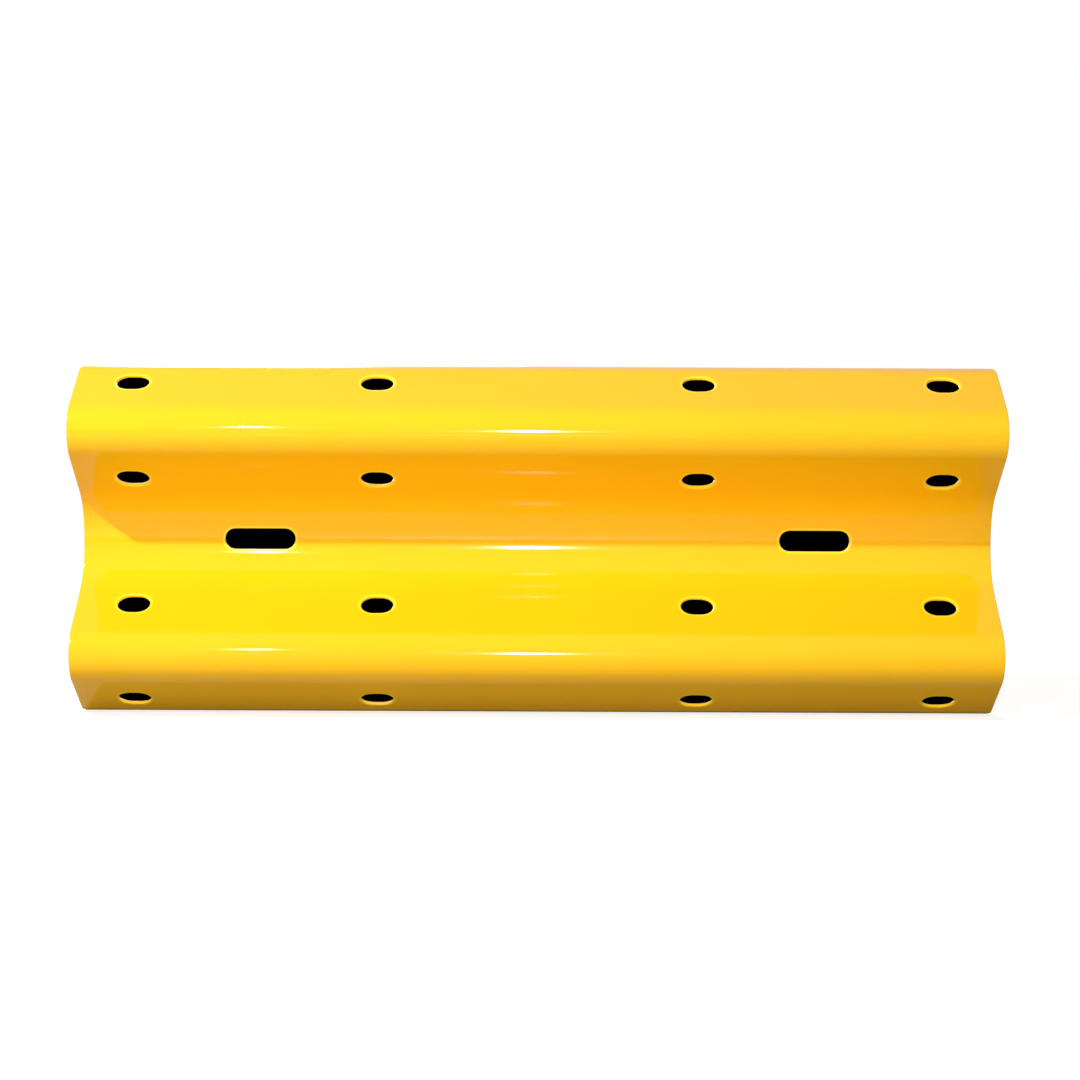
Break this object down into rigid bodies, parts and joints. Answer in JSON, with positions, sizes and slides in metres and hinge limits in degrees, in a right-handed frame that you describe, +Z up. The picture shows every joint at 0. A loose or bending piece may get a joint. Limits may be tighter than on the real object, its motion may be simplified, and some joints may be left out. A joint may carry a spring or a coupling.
{
  "type": "w-section highway guardrail panel",
  "caption": "Roll-formed W-section steel guardrail panel, coated yellow, with slots for bolting it to posts and splicing it to the next panel at either end.",
  "frame": {"origin": "middle of the valley's back face, halfway along the panel, where the rail bears on a post or its block", "axes": "+X along the rail, +Y away from the traffic towards the post, +Z up"},
  "size_m": [0.818, 0.083, 0.312],
  "materials": {
    "yellow_coating": "gloss powder coat over zinc-coated steel"
  },
  "bodies": {
    "root": {"w_beam_rail": "yellow_coating"}
  },
  "joints": []
}
